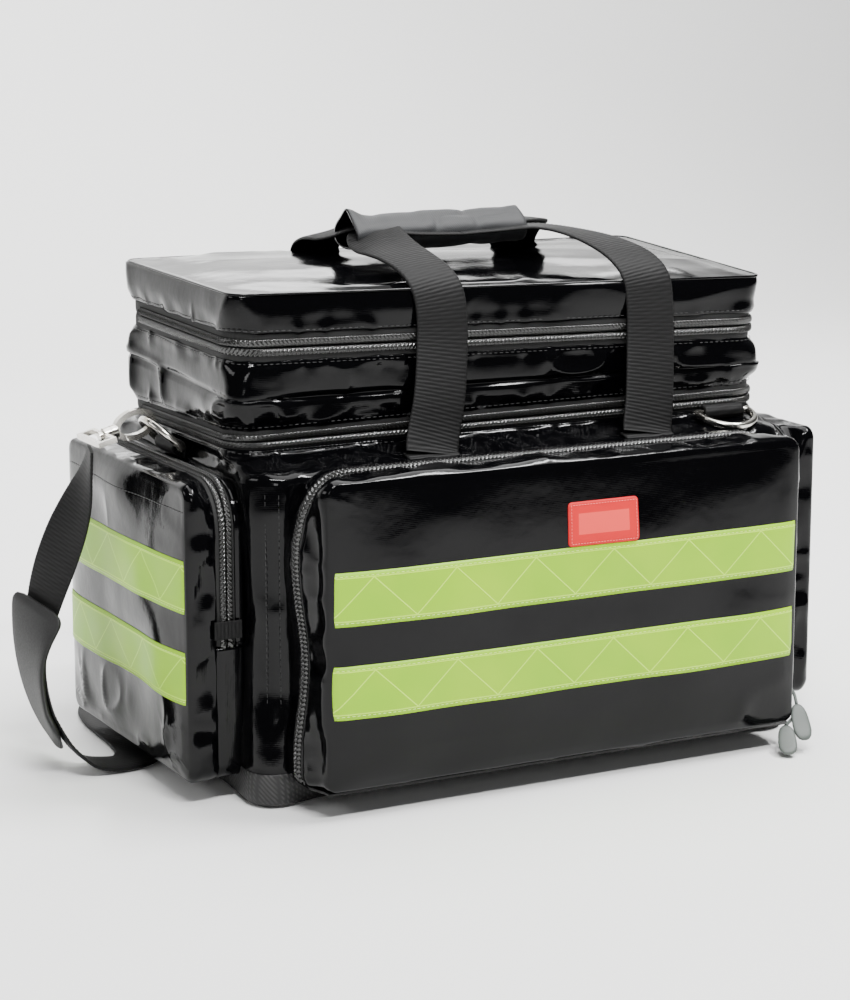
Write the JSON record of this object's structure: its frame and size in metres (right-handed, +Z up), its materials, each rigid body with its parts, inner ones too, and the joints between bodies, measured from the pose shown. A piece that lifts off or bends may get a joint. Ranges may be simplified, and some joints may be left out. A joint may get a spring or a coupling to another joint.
{
  "type": "emergency responder trauma bag",
  "caption": "Box-shaped padded responder bag with zipped double lid, front and side pockets, webbing handles with a grip wrap and a clip-on shoulder strap.",
  "frame": {"origin": "on the floor, on the base panel's underside, below the middle of the lid", "axes": "+X to the bag's right as seen from its front, -Y to the front pocket, +Z up"},
  "size_m": [0.5459, 0.3814, 0.341],
  "materials": {
    "coated_fabric": "glossy black PVC-coated polyester",
    "woven_base": "coarse coated weave",
    "board": "fluted plastic board",
    "lining": "padded nylon lining",
    "zip_tape": "woven tape with nylon coil",
    "reflective": "lime retroreflective tape",
    "label": "stitched red patch",
    "webbing": "ribbed polyester webbing",
    "pad": "soft moulded pad",
    "nickel": "nickel-plated zinc",
    "buckle": "moulded acetal",
    "slider": "black painted zinc",
    "black_puller": "moulded",
    "puller": "grey moulded"
  },
  "bodies": {
    "body": {"base_tray": "woven_base", "main_shell": "coated_fabric", "base_board": "board", "divider_panels": "lining", "main_zip_lower": "zip_tape", "front_pocket_rim": "coated_fabric", "front_zip_inner": "zip_tape", "left_pocket_base": "coated_fabric", "left_zip_inner": "zip_tape", "right_pocket_base": "coated_fabric", "right_zip_inner": "zip_tape", "side_bands_lower": "reflective", "handle_anchor_tabs": "webbing", "side_rings": "nickel", "ring_tabs": "webbing", "left_hook": "nickel", "left_hook_eye": "nickel", "right_hook": "nickel", "right_hook_eye": "nickel", "strap_webbing_lying": "webbing", "strap_adjuster": "buckle", "front_lower_slider": "slider"},
    "upper_box": {"upper_box_shell": "coated_fabric", "main_zip_upper": "zip_tape", "top_zip_lower": "zip_tape"},
    "top_lid": {"top_cover": "coated_fabric", "top_zip_upper": "zip_tape"},
    "front_pocket": {"front_pocket_cover": "coated_fabric", "front_zip_outer": "zip_tape", "front_band_upper": "reflective", "front_band_lower": "reflective", "label_patch": "label"},
    "left_pocket": {"left_pocket_flap": "coated_fabric", "left_zip_outer": "zip_tape", "left_band_upper": "reflective"},
    "right_pocket": {"right_pocket_flap": "coated_fabric", "right_zip_outer": "zip_tape", "right_band_upper": "reflective"},
    "front_handle": {"front_handle_webbing": "webbing", "grip_wrap": "webbing"},
    "rear_handle": {"rear_handle_webbing": "webbing"},
    "front_ring": {"front_d_ring": "nickel"},
    "main_slider": {"main_zip_slider": "slider"},
    "main_pull": {"main_zip_pull": "black_puller"},
    "top_slider": {"top_zip_slider": "slider"},
    "top_pull": {"top_zip_pull": "black_puller"},
    "left_slider": {"left_zip_slider": "slider"},
    "left_pull": {"left_zip_pull": "black_puller"},
    "right_slider": {"right_zip_slider": "slider"},
    "right_pull": {"right_zip_pull": "black_puller"},
    "front_slider": {"front_upper_slider": "slider"},
    "front_pull_upper": {"front_upper_pull": "puller"},
    "front_pull_lower": {"front_lower_pull": "puller"},
    "left_gate": {"left_hook_gate": "nickel"},
    "right_gate": {"right_hook_gate": "nickel"},
    "strap_left": {"strap_webbing_hanging": "webbing", "shoulder_pad": "pad"}
  },
  "joints": [
    {"name": "main_lid_hinge", "type": "hinge", "parent": "body", "child": "upper_box", "pos_m": [0, 0.0863, 0.2175], "axis": [-1, 0, 0], "range_deg": [0, 80]},
    {"name": "top_cover_hinge", "type": "hinge", "parent": "upper_box", "child": "top_lid", "pos_m": [0, 0.0863, 0.271], "axis": [-1, 0, 0], "range_deg": [0, 65], "deforming": ["front_handle_webbing", "rear_handle_webbing", "grip_wrap"]},
    {"name": "front_pocket_hinge", "type": "hinge", "parent": "body", "child": "front_pocket", "pos_m": [0, -0.1612, 0.0176], "axis": [1, 0, 0], "range_deg": [0, 85]},
    {"name": "left_pocket_hinge", "type": "hinge", "parent": "body", "child": "left_pocket", "pos_m": [-0.2254, 0, 0.0971], "axis": [0, -1, 0], "range_deg": [0, 85], "deforming": ["strap_webbing_hanging", "shoulder_pad"]},
    {"name": "right_pocket_hinge", "type": "hinge", "parent": "body", "child": "right_pocket", "pos_m": [0.2254, 0, 0.0971], "axis": [0, 1, 0], "range_deg": [0, 85]},
    {"name": "front_handle_swing", "type": "hinge", "parent": "body", "child": "front_handle", "pos_m": [0, -0.1105, 0.2035], "axis": [1, 0, 0], "range_deg": [0, 95]},
    {"name": "rear_handle_swing", "type": "hinge", "parent": "body", "child": "rear_handle", "pos_m": [0, 0.1105, 0.2035], "axis": [-1, 0, 0], "range_deg": [0, 165]},
    {"name": "front_ring_swing", "type": "hinge", "parent": "body", "child": "front_ring", "pos_m": [0.153, -0.0935, 0.21], "axis": [-1, 0, 0], "range_deg": [0, 100]},
    {"name": "main_slider_run", "type": "slide", "parent": "body", "child": "main_slider", "axis": [0, -1, 0], "range_m": [0, 0.022]},
    {"name": "main_pull_swing", "type": "hinge", "parent": "main_slider", "child": "main_pull", "pos_m": [0.1949, 0.0525, 0.2175], "axis": [0, -1, 0], "range_deg": [0, 90]},
    {"name": "top_slider_run", "type": "slide", "parent": "upper_box", "child": "top_slider", "axis": [0, -1, 0], "range_m": [0, 0.1]},
    {"name": "top_pull_swing", "type": "hinge", "parent": "top_slider", "child": "top_pull", "pos_m": [0.1949, 0.0525, 0.271], "axis": [0, -1, 0], "range_deg": [0, 90]},
    {"name": "left_slider_run", "type": "slide", "parent": "body", "child": "left_slider", "axis": [0, 0, 1], "range_m": [0, 0.05]},
    {"name": "left_pull_swing", "type": "hinge", "parent": "left_slider", "child": "left_pull", "pos_m": [-0.19985, 0.1054, 0.105], "axis": [1, 0, 0], "range_deg": [0, 90]},
    {"name": "right_slider_run", "type": "slide", "parent": "body", "child": "right_slider", "axis": [0, 0, 1], "range_m": [0, 0.05]},
    {"name": "right_pull_swing", "type": "hinge", "parent": "right_slider", "child": "right_pull", "pos_m": [0.19985, 0.1054, 0.105], "axis": [1, 0, 0], "range_deg": [0, 90]},
    {"name": "front_slider_run", "type": "slide", "parent": "body", "child": "front_slider", "axis": [0, 0, 1], "range_m": [0, 0.12]},
    {"name": "front_upper_pull_swing", "type": "hinge", "parent": "front_slider", "child": "front_pull_upper", "pos_m": [0.1728, -0.138, 0.0386], "axis": [0, 0, 1], "range_deg": [0, 60]},
    {"name": "front_lower_pull_swing", "type": "hinge", "parent": "body", "child": "front_pull_lower", "pos_m": [0.169, -0.14, 0.0256], "axis": [0, 0, 1], "range_deg": [0, 6]},
    {"name": "left_gate_hinge", "type": "hinge", "parent": "body", "child": "left_gate", "pos_m": [-0.22292, 0, 0.20799], "axis": [0, -1, 0], "range_deg": [0, 12], "stiffness_Nm_per_rad": 0.02},
    {"name": "right_gate_hinge", "type": "hinge", "parent": "body", "child": "right_gate", "pos_m": [0.21769, 0.02464, 0.21875], "axis": [0.6645, -0.7071, 0.2418], "range_deg": [0, 12], "stiffness_Nm_per_rad": 0.02},
    {"name": "left_strap_swing", "type": "hinge", "parent": "body", "child": "strap_left", "pos_m": [-0.24598, 0, 0.20906], "axis": [0, 1, 0], "range_deg": [0, 60]}
  ],
  "couplings": [
    {"joint": "front_handle_swing", "follows": "main_lid_hinge", "ratio": 1.1875},
    {"joint": "rear_handle_swing", "follows": "main_lid_hinge", "ratio": 2.0625},
    {"joint": "left_strap_swing", "follows": "left_pocket_hinge", "ratio": 0.7049}
  ]
}
